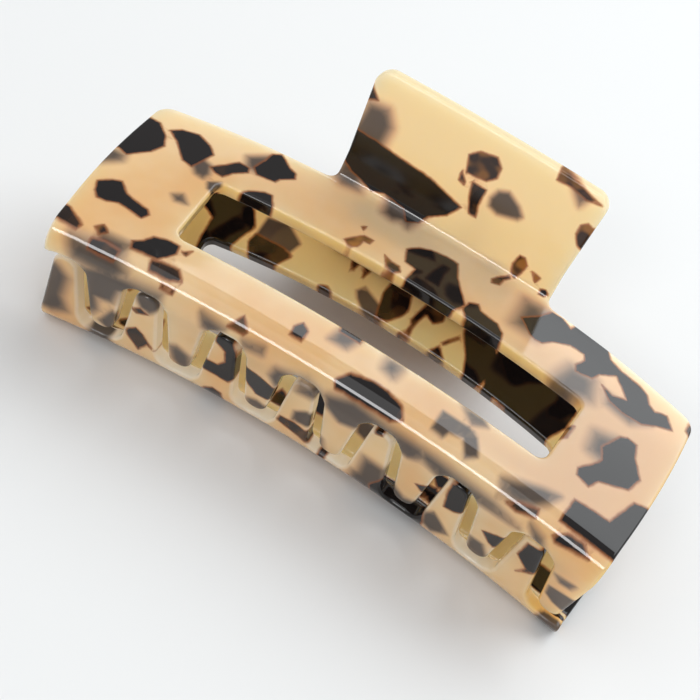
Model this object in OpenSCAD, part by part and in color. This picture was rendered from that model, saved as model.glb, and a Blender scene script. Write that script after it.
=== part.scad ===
// Rectangular claw clip for hair, cut and bent from acetate sheet.
// Two equal jaws turn on one steel pin at the crease between jaw and handle, and a torsion spring
// in the middle of the hinge pushes the handles apart, so that the toothed walls mesh.
// Clip axes: X along the hinge, Y from the toothed wall towards the handles, Z up to the upper jaw,
// with Z = 0 halfway between the jaws and Y = 0 at the crease. lying() then lays the closed clip down
// on its lower handle and its lower front bend, with the origin under the middle of its box.

/* [Sheet] */
// Thickness of the acetate sheet
sheet_t = 2.9; // [2.6:0.1:3.2]
// Length of the jaws along the front bend
clip_len = 110; // [108:1:112]
// Crease to front bend, measured along Y
plate_depth = 45.8; // [44:0.2:47]
// Height of the outer face above the middle plane at the crease
crease_z = 5.5; // [5.4:0.1:5.9]
// Height of the outer face above the middle plane at the front bend
bend_z = 14.5; // [14:0.1:15]
// How far the plate swells between crease and front bend
plate_bulge = 0.8; // [0:0.1:1]
// Outer radius of the front bend
bend_r = 5; // [4.2:0.1:6]
// Outer radius of the hollow at the crease
crease_r = 2.5; // [2:0.1:3]
// Lean of the toothed wall, inwards from square
wall_lean = 2.5; // [1.5:0.5:3.5]
// Radius of the bow that follows the head
bow_r = 336; // [320:2:360]
// Tilt of the bow's axis, which lifts the ends of each jaw
bow_tilt = 15.5; // [12:0.5:18]

/* [Jaw outline] */
// Jaw length at the back corners
back_len = 114.8; // [113:0.2:116]
// Distance from the crease forward to the back corners
back_corner_y = 8.9; // [8:0.1:10]
// Radius of the curved back edge
back_edge_r = 187; // [180:1:200]
// Corner radius at the back corners
corner_r = 3.6; // [2:0.1:5]
// How far the end edges swell out between their corners
end_bulge = 0.9; // [0:0.1:1.2]

/* [Window] */
// Crease to the back edge of the window
window_back = 15.7; // [15:0.1:17]
// Crease to the front edge of the window
window_front = 33.4; // [31:0.1:34]
// Window length along the back edge
window_back_len = 77; // [70:1:80]
// Window length along the front edge
window_front_len = 75; // [68:1:78]
// Radius of the curved back edge of the window
window_back_r = 220; // [200:5:260]
// Radius of the curved front edge of the window
window_front_r = 305; // [280:5:340]
// Corner radius of the window
window_corner_r = 1.8; // [1:0.1:2.4]

/* [Handle] */
// Length of the handle from the crease
handle_len = 23.8; // [20:0.2:26]
// Angle between the handle and the middle plane
handle_angle = 66; // [62:1:70]
// Width of the handle at the crease
handle_base_w = 46.4; // [44:0.2:48]
// Width of the handle at its tip
handle_tip_w = 48.7; // [46:0.1:50]
// Corner radius of the handle
handle_corner_r = 3; // [1:0.1:4]
// Radius of the inner corners where the handle leaves the jaw
handle_root_r = 2.4; // [1:0.1:3]

/* [Teeth] */
// Distance between the teeth of one jaw
tooth_pitch = 15.85; // [15.6:0.05:16]
// Reach of the tooth tips past the middle plane
tooth_tip = 8.1; // [7:0.1:8.4]
// Distance of the valleys between teeth from the middle plane
tooth_valley = 9.6; // [9.2:0.1:10]
// Half width of a tooth at the middle plane
tooth_half_w = 2.85; // [2.4:0.05:2.9]
// Taper of each tooth flank
tooth_taper = 5.5; // [4:0.5:6]
// Radius of the tooth tips
tip_r = 2.1; // [1.5:0.1:2.2]
// Radius in the corners of the valleys
valley_r = 3.2; // [2:0.1:3.4]

/* [Hinge] */
// Distance of the pin behind the crease
hinge_back = 1.5; // [1.2:0.1:1.8]
// Radius of the steel pin
pin_r = 1; // [0.8:0.05:1.1]
// Radial clearance between pin and knuckles
pin_clearance = 0.05; // [0.02:0.01:0.1]
// Radius of the knuckles
knuckle_r = 2.6; // [2.4:0.1:2.7]
// Width of each knuckle
knuckle_w = 3.4; // [3:0.1:3.6]
// Gap between neighbouring knuckles
knuckle_gap = 0.3; // [0.3:0.05:0.5]
// Inner end of the inner knuckles, from the middle
spring_room = 5.9; // [5.8:0.1:6.4]
// Length of the glued seat along the hinge
seat_len = 34; // [30:1:40]
// Crease to the front edge of the seat
seat_front = 8.4; // [7.6:0.1:9]
// Crease to the back edge of the seat's strip
seat_back = 2.4; // [2.2:0.1:3]
// Thickness of the seat's glued strip
seat_t = 1.3; // [1.2:0.1:1.5]
// Length of the pin between its head and its end cap
pin_grip = 26.4; // [26.2:0.1:27]
// Radius of the pin's head
head_r = 1.8; // [1.6:0.1:2]
// Thickness of the pin's head
head_t = 0.9; // [0.6:0.1:1.2]
// Radius of the pressed end cap
cap_r = 1.9; // [1.6:0.1:2]
// Thickness of the pressed end cap
cap_t = 1.3; // [1:0.1:1.6]

/* [Spring] */
// Radius of the spring wire
wire_r = 0.42; // [0.35:0.01:0.5]
// Mean radius of the coil
coil_r = 1.75; // [1.65:0.05:1.9]
// Distance between the coil's turns
coil_pitch = 1.12; // [1.05:0.01:1.2]
// Turns that stay with the lower jaw
coil_turns = 8; // [6:1:8]
// Length of each spring leg
leg_len = 12; // [10:0.5:14]
// Gap between the leg's tip and its handle
leg_gap = 0.06; // [0.05:0.01:0.2]

/* [Hidden] */

// Arc steps of the drawn outlines, and the usual overrun of a cut
bend_steps = 10;
plate_steps = 12;
round_steps = 8;
edge_steps = 10;
over = 8;
acetate = [0.90, 0.74, 0.53];
acetate_glued = [0.93, 0.78, 0.50];
steel = [0.72, 0.73, 0.75];
spring_steel = [0.60, 0.61, 0.63];

// The closed clip leans back by this much when it lies on a table
plate_angle = atan2(bend_z - crease_z, plate_depth);
rest_tilt = 13.2;
rest_shift_y = 16.46;
rest_lift = 24.66;

// A point moved round the bends: lift() swells the plate between its two bends
function along(y) = max(0, min(1, -y/plate_depth));
function lift(p) = [p[0], p[1] + plate_bulge*pow(sin(180*along(p[0])), 2)];
function arc(c, r, a0, a1, n) =
    [for (i = [0:n]) c + r*[cos(a0 + (a1 - a0)*i/n), sin(a0 + (a1 - a0)*i/n)]];
function flip(list) = [for (i = [len(list)-1:-1:0]) list[i]];
function unit(v) = v/norm(v);

// Corner i of a closed outline, rounded to the radius that is its third value
function corner(list, i) =
    let (n = len(list), b = [list[i][0], list[i][1]], r = list[i][2],
         a = list[(i + n - 1)%n], c = list[(i + 1)%n],
         u = unit([a[0], a[1]] - b), v = unit([c[0], c[1]] - b),
         half = acos(max(-1, min(1, u*v)))/2)
    r == 0 ? [b] :
    let (centre = b + unit(u + v)*r/sin(half), p = b + u*r/tan(half) - centre,
         q = b + v*r/tan(half) - centre, a0 = atan2(p[1], p[0]),
         turn = (atan2(q[1], q[0]) - a0 + 540)%360 - 180)
    arc(centre, r, a0, a0 + turn, round_steps);
function rounded(list) = [for (i = [0:len(list)-1]) each corner(list, i)];

// The jaw's cross-section in the YZ plane. depth = 0 is the outer face, sheet_t the inner one
function skin(depth) =
    let (a = handle_angle, p = plate_angle, half_c = (180 - a - p)/2, turn_b = 90 - wall_lean - p,
         crease_c = [0, crease_z] + crease_r/sin(half_c)*[cos(a + half_c), sin(a + half_c)],
         bend_c = [-plate_depth, bend_z]
             + bend_r/sin(turn_b/2)*[cos(-p - turn_b/2), sin(-p - turn_b/2)],
         tip = [0, crease_z] + (handle_len + over)*[cos(a), sin(a)] + depth*[sin(a), -cos(a)],
         crease_arc = arc(crease_c, crease_r + depth, a - 90, -90 - p, bend_steps),
         bend_arc = arc(bend_c, bend_r - depth, 90 - p, 180 + wall_lean, bend_steps),
         from = crease_arc[bend_steps], to = bend_arc[0],
         wall_end = bend_arc[bend_steps]
             + (bend_z + tooth_tip)*[sin(wall_lean), -cos(wall_lean)])
    [for (q = concat([tip], crease_arc,
                     [for (i = [1:plate_steps-1]) from + (to - from)*i/plate_steps],
                     bend_arc, [wall_end])) lift(q)];

// Turns a cross-section into the bowed solid that follows the head
module bowed() {
    sweep = 26;
    translate([0, -plate_depth - bow_r*cos(bow_tilt), bend_z + bow_r*sin(bow_tilt)])
        rotate([-bow_tilt, 0, 0])
            rotate([0, 0, 90 - sweep/2])
                rotate_extrude(angle = sweep, $fn = 360)
                    translate([bow_r, 0]) rotate(bow_tilt) translate([plate_depth, -bend_z])
                        children();
}

module sheet_section(from_depth, to_depth) {
    polygon(concat(skin(from_depth), flip(skin(to_depth))));
}

// Plan of the jaw. Each row is x, y and the corner radius
function back_y(x) = -back_edge_r + sqrt(back_edge_r*back_edge_r - x*x);
function end_side() =
    let (front = [clip_len/2, -plate_depth - clip_len*clip_len/8/bow_r],
         back = [back_len/2, -back_corner_y])
    [for (i = [0:edge_steps-1]) let (k = i/edge_steps)
        [front[0] + (back[0] - front[0])*k + 4*end_bulge*k*(1 - k),
         front[1] + (back[1] - front[1])*k, 0]];
function right_side() =
    let (root = handle_base_w/2)
    concat([[clip_len/2, -plate_depth - 2*over, 0]], end_side(),
           [[back_len/2, -back_corner_y, corner_r]],
           [for (i = [1:edge_steps-1])
               let (x = back_len/2 + (root - back_len/2)*i/edge_steps) [x, back_y(x), 0]],
           [[root, back_y(root), handle_root_r], [root, crease_z/2, 0]]);
function mirrored(list) = [for (p = flip(list)) [-p[0], p[1], p[2]]];
function plan() = concat(right_side(), mirrored(right_side()));

module jaw_plan() {
    translate([0, 0, -tooth_tip - over])
        linear_extrude(bend_z + tooth_tip + 2*over)
            polygon(rounded(plan()));
}

// Handle outline, square to the handle's own plane
module handle_plan() {
    half = [[handle_base_w/2, 1, 0], [handle_tip_w/2, handle_len, handle_corner_r]];
    translate([0, 0, crease_z]) rotate([handle_angle, 0, 0]) translate([0, 0, -sheet_t - 2])
        linear_extrude(sheet_t + 4)
            polygon(rounded(concat(half, mirrored(half))));
}

// Window, cut square to the plate
function window_row(y, half_len, r, way) =
    [for (i = [0:edge_steps]) let (x = way*half_len*(2*i/edge_steps - 1))
        [x, y - r + sqrt(r*r - x*x), (i == 0 || i == edge_steps) ? window_corner_r : 0]];
module window_cut() {
    outline = concat(window_row(-window_back, window_back_len/2, window_back_r, 1),
                     window_row(-window_front, window_front_len/2, window_front_r, -1));
    translate([0, 0, crease_z - over])
        linear_extrude(bend_z + over)
            polygon(rounded(outline));
}

// Everything below the wavy edge of the teeth
function tooth_x(k) = tooth_pitch*(k + 1/4);
function tooth_edge(k) =
    let (tip = tooth_half_w - tooth_tip*tan(tooth_taper),
         root = tooth_half_w + tooth_valley*tan(tooth_taper), x = tooth_x(k))
    [[x - root, tooth_valley, valley_r], [x - tip, -tooth_tip, tip_r],
     [x + tip, -tooth_tip, tip_r], [x + root, tooth_valley, valley_r]];
module tooth_cut() {
    low = -tooth_tip - 3*over;
    wave = [for (k = [-4:4]) each tooth_edge(k)];
    translate([0, -plate_depth + over, 0]) rotate([90, 0, 0])
        linear_extrude(3*over)
            polygon(rounded(concat([[tooth_x(-4) - over, low, 0]], wave,
                                   [[tooth_x(4) + over, low, 0]])));
}

module jaw() {
    difference() {
        intersection() {
            bowed() sheet_section(0, sheet_t);
            union() { jaw_plan(); handle_plan(); }
        }
        window_cut();
        tooth_cut();
    }
}

// A glued hinge seat: a strip under the plate with an outer knuckle at +X and an inner one at -X.
// Both are cut to the inner face of the sheet that they are glued to.
knuckle_in = spring_room;
knuckle_out = spring_room + knuckle_w + knuckle_gap;
function inner_z(y) = crease_z - y*tan(plate_angle) - sheet_t/cos(plate_angle);
module along_hinge(from, width) {
    translate([from, 0, 0]) rotate([90, 0, 90]) linear_extrude(width) children();
}
module seat_strip() {
    intersection() {
        bowed() polygon([[-seat_back, inner_z(-seat_back) - seat_t],
                         [-seat_front, inner_z(-seat_front) - seat_t],
                         [-seat_front, inner_z(-seat_front) + 1], [-seat_back, inner_z(-seat_back) + 1]]);
        translate([-seat_len/2, -seat_front - over, -1]) cube([seat_len, seat_front + over, 3*over]);
    }
}
// The web joins the round knuckle to the sheet, from below the handle's root to the strip's front
module knuckle(x) {
    right = hinge_back + knuckle_r;
    web_front = -seat_front + seat_t;
    web_back = right - knuckle_r/2;
    along_hinge(x, knuckle_w)
        union() {
            translate([hinge_back, 0]) circle(knuckle_r, $fn = 64);
            polygon([[right, 0], [web_back, crease_z - 1], [web_front, crease_z],
                     [web_front, inner_z(-seat_front) - seat_t], [hinge_back - knuckle_r, 0]]);
        }
}
module hinge_seat() {
    difference() {
        union() {
            seat_strip();
            knuckle(knuckle_out);
            knuckle(-knuckle_in - knuckle_w);
        }
        bowed() sheet_section(0, sheet_t);
        along_hinge(-seat_len/2, seat_len)
            translate([hinge_back, 0]) circle(pin_r + pin_clearance, $fn = 64);
    }
}

// The pin's grip runs between head and cap; its shank goes on through the cap
pin_end = cap_t + 0.4;
module pin() {
    translate([0, hinge_back, 0]) rotate([0, 90, 0]) {
        translate([0, 0, -pin_grip/2 - pin_end])
            cylinder(r = pin_r, h = pin_grip + pin_end + head_t, $fn = 64);
        translate([0, 0, pin_grip/2]) cylinder(r = head_r, h = head_t, $fn = 64);
    }
}
module end_cap() {
    translate([-pin_grip/2 - cap_t, hinge_back, 0]) rotate([0, 90, 0])
        difference() {
            cylinder(r = cap_r, h = cap_t, $fn = 64);
            translate([0, 0, -1]) cylinder(r = pin_r, h = cap_t + 2, $fn = 64);
        }
}

// A wire of round section: rows of path are [x, turning radius, angle, run along the leg]
wire_sides = 8;
turn_steps = 16;
function radial(a) = [0, cos(a), sin(a)];
function wire_ring(row) =
    let (a = row[2], c = [row[0], hinge_back, 0] + row[1]*radial(a) + row[3]*radial(a + 90))
    [for (i = [0:wire_sides-1]) let (s = 360*i/wire_sides)
        c + wire_r*(cos(s)*radial(a) + sin(s)*[1, 0, 0])];
module wire(path) {
    n = wire_sides;
    last = len(path) - 1;
    polyhedron(
        points = [for (row = path) each wire_ring(row)],
        faces = concat([[for (i = [0:n-1]) i]], [[for (i = [n-1:-1:0]) last*n + i]],
            [for (k = [0:last-1], i = [0:n-1])
                [k*n + i, (k + 1)*n + i, (k + 1)*n + (i + 1)%n, k*n + (i + 1)%n]]));
}
// Each leg slants back from the coil until its tip lies on the inner face of its handle
face_d = sheet_t - hinge_back*sin(handle_angle) - crease_z*cos(handle_angle);
leg_slant = asin((coil_r - face_d - wire_r - leg_gap)/leg_len);
lower_leg_a = 90 - handle_angle - leg_slant;
upper_leg_a = handle_angle + leg_slant - 90;
coil_x = -coil_pitch*(coil_turns + 1)/2;
module spring_coil() {
    wire(concat([[coil_x, coil_r, lower_leg_a, -leg_len]],
        [for (i = [0:coil_turns*turn_steps])
            [coil_x + coil_pitch*i/turn_steps, coil_r, lower_leg_a + 360*i/turn_steps, 0]]));
}
module spring_end() {
    x = -coil_x;
    back = 5*turn_steps/8;
    wire(concat([for (i = [-back:0]) [x, coil_r, upper_leg_a + 360*i/turn_steps, 0]],
        [[x, coil_r, upper_leg_a, leg_len]]));
}

// Half a turn about the handle direction makes the lower half from the upper one
module lying() {
    translate([0, rest_shift_y, rest_lift]) rotate([rest_tilt, 0, 0]) children();
}
module turned_over() { rotate([0, 180, 0]) children(); }

module upper_jaw() { color(acetate) lying() jaw(); }
module lower_jaw() { color(acetate) lying() turned_over() jaw(); }
module upper_hinge_seat() { color(acetate_glued) lying() hinge_seat(); }
module lower_hinge_seat() { color(acetate_glued) lying() turned_over() hinge_seat(); }
module hinge_pin() { color(steel) lying() pin(); }
module pin_end_cap() { color(steel) lying() end_cap(); }
module torsion_spring() { color(spring_steel) lying() spring_coil(); }
module spring_end_turn() { color(spring_steel) lying() spring_end(); }

upper_jaw();
lower_jaw();
upper_hinge_seat();
lower_hinge_seat();
hinge_pin();
pin_end_cap();
torsion_spring();
spring_end_turn();
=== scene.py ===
import math

import bmesh
import bpy
import numpy as np
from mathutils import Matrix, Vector, geometry


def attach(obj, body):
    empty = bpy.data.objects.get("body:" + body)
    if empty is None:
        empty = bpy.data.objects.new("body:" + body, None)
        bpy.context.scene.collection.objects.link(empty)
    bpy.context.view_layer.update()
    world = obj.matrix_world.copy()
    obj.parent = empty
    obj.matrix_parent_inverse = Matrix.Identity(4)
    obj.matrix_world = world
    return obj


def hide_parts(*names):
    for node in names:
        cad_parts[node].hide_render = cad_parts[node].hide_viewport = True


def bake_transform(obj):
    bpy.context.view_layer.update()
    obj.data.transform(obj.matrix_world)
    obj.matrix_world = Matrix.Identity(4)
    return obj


# Looks of a rectangular claw clip in blonde tortoiseshell acetate. The jaws are rebuilt as bent sheets
# with tumbled edges, and the pin, its cap and the spring as finished pieces. The hinge seats are the CAD's
# own, with a bevel. Lengths are millimetres in the clip's own axes until lying() turns them into the row
# frame in metres.

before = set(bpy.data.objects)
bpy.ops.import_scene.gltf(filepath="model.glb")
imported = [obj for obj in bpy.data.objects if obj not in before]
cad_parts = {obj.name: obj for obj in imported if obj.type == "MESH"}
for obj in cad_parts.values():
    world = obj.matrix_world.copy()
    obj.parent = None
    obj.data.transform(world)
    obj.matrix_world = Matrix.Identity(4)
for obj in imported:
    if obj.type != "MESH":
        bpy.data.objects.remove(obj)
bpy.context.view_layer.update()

MM = 0.001

# The clip, as the CAD has it
SHEET_T = 2.9
CLIP_LEN = 110.0
PLATE_DEPTH = 45.8
CREASE_Z = 5.5
BEND_Z = 14.5
PLATE_BULGE = 0.8
BEND_R = 5.0
CREASE_R = 2.5
WALL_LEAN = math.radians(2.5)
BOW_R = 336.0
BOW_TILT = math.radians(15.5)
BACK_LEN = 114.8
BACK_CORNER_Y = 8.9
BACK_EDGE_R = 187.0
CORNER_R = 3.6
END_BULGE = 0.9
WINDOW_BACK, WINDOW_FRONT = 15.7, 33.4
WINDOW_BACK_LEN, WINDOW_FRONT_LEN = 77.0, 75.0
WINDOW_BACK_R, WINDOW_FRONT_R = 220.0, 305.0
WINDOW_CORNER_R = 1.8
HANDLE_LEN = 23.8
HANDLE_ANGLE = math.radians(66)
HANDLE_BASE_W, HANDLE_TIP_W = 46.4, 48.7
HANDLE_CORNER_R, HANDLE_ROOT_R = 3.0, 2.4
TOOTH_PITCH = 15.85
TOOTH_TIP, TOOTH_VALLEY = 8.1, 9.6
TOOTH_HALF_W = 2.85
TOOTH_TAPER = math.radians(5.5)
TIP_R, VALLEY_R = 2.1, 3.2
HINGE_BACK = 1.5
PIN_R, PIN_GRIP = 1.0, 26.4
HEAD_R, HEAD_T, CAP_R, CAP_T, PIN_STUB = 1.8, 0.9, 1.9, 1.3, 0.4
WIRE_R, COIL_R, COIL_PITCH, COIL_TURNS = 0.42, 1.75, 1.12, 9
LEG_LEN, LEG_GAP = 12.0, 0.06
REST_TILT = math.radians(13.2)
REST_SHIFT_Y, REST_LIFT = 16.46, 24.66

PLATE_ANGLE = math.atan2(BEND_Z - CREASE_Z, PLATE_DEPTH)

# How the meshes are cut up
EDGE_R = 0.62
EDGE_STEPS = 3
OUTLINE_STEP = 0.85
ROW_STEP = 1.1
COLUMN_STEP = 1.1
FLAKE_STEP = 0.7
CROWDED = 0.45 * FLAKE_STEP
RIM_GAP = 0.35
MESH_REACH = 60
BEND_ROWS = 9
ARC_STEPS = 10
TURN_STEPS = 24
LEG_STEPS = 6

# How the cross-section and the outlines are cut up, and how far they run past the sheet's real edges
HANDLE_ROWS, BEND_ARC_ROWS, PLATE_ROWS, WALL_ROWS = 60, 24, 120, 60
EDGE_POINTS = 12
OVERRUN = 3.0
FRONT_OVERRUN = 9.0
SPARE_ROWS = 6
NEAR_DOUBLE = 0.12


# ---------------------------------------------------------------- places

def lying(points):
    """Clip millimetres to the row frame in metres."""
    p = np.asarray(points, float)
    c, s = math.cos(REST_TILT), math.sin(REST_TILT)
    y = p[..., 1] * c - p[..., 2] * s + REST_SHIFT_Y
    z = p[..., 1] * s + p[..., 2] * c + REST_LIFT
    return np.stack([p[..., 0], y, z], -1) * MM


def place(points, lower):
    """The lower half is the upper one turned half a turn about the clip's Y axis."""
    p = np.array(points, float)
    if lower:
        p = p * np.array([-1.0, 1.0, -1.0])
    return lying(p)


def bow(x, y, z):
    """A cross-section point (y, z) carried out to x along the bowed sheet."""
    cp, sp = math.cos(BOW_TILT), math.sin(BOW_TILT)
    cy, cz = -PLATE_DEPTH - BOW_R * cp, BEND_Z + BOW_R * sp
    rho = (y - cy) * cp - (z - cz) * sp
    h = (y - cy) * sp + (z - cz) * cp
    reach = np.sqrt(np.maximum(rho * rho - x * x, 0))
    return np.stack([x + 0 * rho, cy + h * sp + reach * cp, cz + h * cp - reach * sp], -1)


def arc(centre, radius, start, end, steps):
    a = np.linspace(start, end, steps + 1)
    return np.stack([centre[0] + radius * np.cos(a), centre[1] + radius * np.sin(a)], -1)


def section(depth):
    """The jaw's cross-section (y, z) at a depth under its outer face, from handle tip to tooth tip."""
    a, p = HANDLE_ANGLE, PLATE_ANGLE
    half_c = (math.pi - a - p) / 2
    turn_b = math.pi / 2 - WALL_LEAN - p
    crease_c = np.array([0, CREASE_Z]) + CREASE_R / math.sin(half_c) * np.array(
        [math.cos(a + half_c), math.sin(a + half_c)])
    bend_c = np.array([-PLATE_DEPTH, BEND_Z]) + BEND_R / math.sin(turn_b / 2) * np.array(
        [math.cos(-p - turn_b / 2), math.sin(-p - turn_b / 2)])
    tip = np.array([0, CREASE_Z]) + (HANDLE_LEN + OVERRUN) * np.array([math.cos(a), math.sin(a)])
    tip = tip + depth * np.array([math.sin(a), -math.cos(a)])
    crease = arc(crease_c, CREASE_R + depth, a - math.pi / 2, -math.pi / 2 - p, BEND_ARC_ROWS)
    bend = arc(bend_c, BEND_R - depth, math.pi / 2 - p, math.pi + WALL_LEAN, BEND_ARC_ROWS)
    down = np.array([math.sin(WALL_LEAN), -math.cos(WALL_LEAN)])
    edge = bend[-1] + (BEND_Z + TOOTH_TIP + OVERRUN) * down

    def straight(q0, q1, n):
        k = np.linspace(0, 1, n + 1)[:, None]
        return q0 + (q1 - q0) * k

    out = np.concatenate([straight(tip, crease[0], HANDLE_ROWS)[:-1], crease,
                          straight(crease[-1], bend[0], PLATE_ROWS)[1:-1], bend,
                          straight(bend[-1], edge, WALL_ROWS)[1:]])
    along = np.clip(-out[:, 0] / PLATE_DEPTH, 0, 1)
    out[:, 1] += PLATE_BULGE * np.sin(math.pi * along) ** 2
    return out


OUTER, INNER = section(0.0), section(SHEET_T)
MIDDLE = (OUTER + INNER) / 2
RUN = np.concatenate([[0], np.cumsum(np.linalg.norm(np.diff(MIDDLE, axis=0), axis=1))])
CREASE_ROW = HANDLE_ROWS
BEND_ROW = HANDLE_ROWS + BEND_ARC_ROWS + PLATE_ROWS
MID_BEND_ROW = BEND_ROW + BEND_ARC_ROWS // 2
CREASE_START, CREASE_END = RUN[CREASE_ROW], RUN[CREASE_ROW + BEND_ARC_ROWS]
BEND_START, BEND_END = RUN[BEND_ROW], RUN[BEND_ROW + BEND_ARC_ROWS]


def sheet_point(x, u, depth):
    """Flat sheet coordinates (x, u, depth) to the bent and bowed sheet, in clip millimetres."""
    k = np.asarray(depth) / SHEET_T
    y = np.interp(u, RUN, OUTER[:, 0]) * (1 - k) + np.interp(u, RUN, INNER[:, 0]) * k
    z = np.interp(u, RUN, OUTER[:, 1]) * (1 - k) + np.interp(u, RUN, INNER[:, 1]) * k
    return bow(x, y, z)


def sheet_axes(x, u, depth):
    """Unit vectors along x, along u and out of the outer face."""
    e = 0.35
    along_x = sheet_point(x + e, u, depth) - sheet_point(x - e, u, depth)
    along_u = sheet_point(x, u + e, depth) - sheet_point(x, u - e, depth)
    out = np.cross(along_x, along_u)

    def unit(v):
        return v / np.linalg.norm(v, axis=-1, keepdims=True)
    up = sheet_point(x, u, np.zeros_like(x)) - sheet_point(x, u, np.full_like(x, SHEET_T))
    out = unit(out)
    out *= np.sign((out * up).sum(-1, keepdims=True))
    return unit(along_x), unit(along_u), out


def run_where(x, value, first, last, measure):
    """The run u between rows first and last at which measure(point) equals value, at this x."""
    line = bow(np.full(last - first, float(x)), MIDDLE[first:last, 0], MIDDLE[first:last, 1])
    m = measure(line)
    order = np.argsort(m)
    return float(np.interp(value, m[order], RUN[first:last][order]))


# ---------------------------------------------------------------- outlines in the flat sheet

def rounded(rows):
    """A closed outline whose corners are rounded to the radius that is each row's third value."""
    out = []
    n = len(rows)
    for i in range(n):
        b = np.array(rows[i][:2], float)
        r = rows[i][2]
        if r == 0:
            out.append(b)
            continue
        a, c = np.array(rows[i - 1][:2], float), np.array(rows[(i + 1) % n][:2], float)
        u, v = (a - b) / np.linalg.norm(a - b), (c - b) / np.linalg.norm(c - b)
        half = math.acos(max(-1.0, min(1.0, float(u @ v)))) / 2
        centre = b + (u + v) / np.linalg.norm(u + v) * r / math.sin(half)
        p, q = b + u * r / math.tan(half) - centre, b + v * r / math.tan(half) - centre
        a0 = math.atan2(p[1], p[0])
        turn = (math.atan2(q[1], q[0]) - a0 + 3 * math.pi) % (2 * math.pi) - math.pi
        out.extend(arc(centre, r, a0, a0 + turn, ARC_STEPS))
    return out


def back_y(x):
    return -BACK_EDGE_R + math.sqrt(BACK_EDGE_R ** 2 - x * x)


def plan_side():
    """Right side of the plan (x, y): the end edge from front to back, then the back edge to the handle."""
    front = (CLIP_LEN / 2, -PLATE_DEPTH - CLIP_LEN ** 2 / 8 / BOW_R)
    back = (BACK_LEN / 2, -BACK_CORNER_Y)
    rows = [(CLIP_LEN / 2, front[1] - FRONT_OVERRUN, 0)]
    for i in range(EDGE_POINTS):
        k = i / EDGE_POINTS
        rows.append((front[0] + (back[0] - front[0]) * k + 4 * END_BULGE * k * (1 - k),
                     front[1] + (back[1] - front[1]) * k, 0))
    rows.append((*back, CORNER_R))
    root = HANDLE_BASE_W / 2
    for i in range(1, EDGE_POINTS):
        x = back[0] + (root - back[0]) * i / EDGE_POINTS
        rows.append((x, back_y(x), 0))
    rows += [(root, back_y(root), HANDLE_ROOT_R), (root, OVERRUN, 0)]
    closed = rounded(rows + [(0.0, OVERRUN, 0), (0.0, front[1] - FRONT_OVERRUN, 0)])
    return [q for q in closed if q[0] > 1.0]


def handle_side():
    """Right half of the handle's outline (x, distance from the crease)."""
    rows = [(0.0, 1.0, 0), (HANDLE_BASE_W / 2, 1.0, 0), (HANDLE_TIP_W / 2, HANDLE_LEN, HANDLE_CORNER_R),
            (0.0, HANDLE_LEN, 0)]
    return [q for q in rounded(rows) if q[0] > 1.0 and q[1] > 2.0]


def tooth_wave():
    """The wavy toothed edge (x, z), from left end to right end."""
    rows = [(-9 * TOOTH_PITCH, -20.0, 0)]
    for k in range(-4, 5):
        x = TOOTH_PITCH * (k + 0.25)
        tip = TOOTH_HALF_W - TOOTH_TIP * math.tan(TOOTH_TAPER)
        root = TOOTH_HALF_W + TOOTH_VALLEY * math.tan(TOOTH_TAPER)
        rows += [(x - root, TOOTH_VALLEY, VALLEY_R), (x - tip, -TOOTH_TIP, TIP_R),
                 (x + tip, -TOOTH_TIP, TIP_R), (x + root, TOOTH_VALLEY, VALLEY_R)]
    rows.append((9 * TOOTH_PITCH, -20.0, 0))
    return [q for q in rounded(rows) if abs(q[0]) < CLIP_LEN / 2 - 0.6]


def outline():
    """The jaw's outer outline in the flat sheet (x, u), as one closed loop."""
    plate_rows, wall_rows = (0, MID_BEND_ROW), (BEND_ROW, len(RUN))
    handle_rows = (0, CREASE_ROW + BEND_ARC_ROWS + SPARE_ROWS)
    along_handle = np.array([0, math.cos(HANDLE_ANGLE), math.sin(HANDLE_ANGLE)])
    side = []
    for x, y in plan_side():
        u = run_where(x, y, *plate_rows, lambda p: p[:, 1])
        if u < BEND_START + 2:
            side.append((x, u))
    for x, s in handle_side():
        side.append((x, run_where(x, s, *handle_rows, lambda p: (p - [0, 0, CREASE_Z]) @ along_handle)))
    low = [(x, run_where(x, z, *wall_rows, lambda p: p[:, 2])) for x, z in tooth_wave()]
    wall_end = (CLIP_LEN / 2 + 0.2, BEND_END)
    return [(-wall_end[0], wall_end[1])] + low + [wall_end], side


def window_outline():
    """The window (x, u), as one closed loop."""
    rows = []
    for y, half, r, way in ((-WINDOW_BACK, WINDOW_BACK_LEN / 2, WINDOW_BACK_R, 1),
                            (-WINDOW_FRONT, WINDOW_FRONT_LEN / 2, WINDOW_FRONT_R, -1)):
        for i in range(EDGE_POINTS + 1):
            x = way * half * (2 * i / EDGE_POINTS - 1)
            corner = WINDOW_CORNER_R if i in (0, EDGE_POINTS) else 0
            rows.append((x, y - r + math.sqrt(r * r - x * x), corner))
    return [(x, run_where(x, y, 0, MID_BEND_ROW, lambda p: p[:, 1])) for x, y in rounded(rows)]


def resampled(loop, step):
    """The closed loop with its long stretches divided and its near-double points dropped."""
    pts = [np.array(q, float) for q in loop]
    kept = [pts[0]]
    for q in pts[1:]:
        if np.linalg.norm(q - kept[-1]) > NEAR_DOUBLE:
            kept.append(q)
    if np.linalg.norm(kept[-1] - kept[0]) < NEAR_DOUBLE:
        kept.pop()
    out = []
    for a, b in zip(kept, kept[1:] + kept[:1]):
        n = max(1, math.ceil(np.linalg.norm(b - a) / step))
        out += [a + (b - a) * i / n for i in range(n)]
    return np.array(out)


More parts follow.
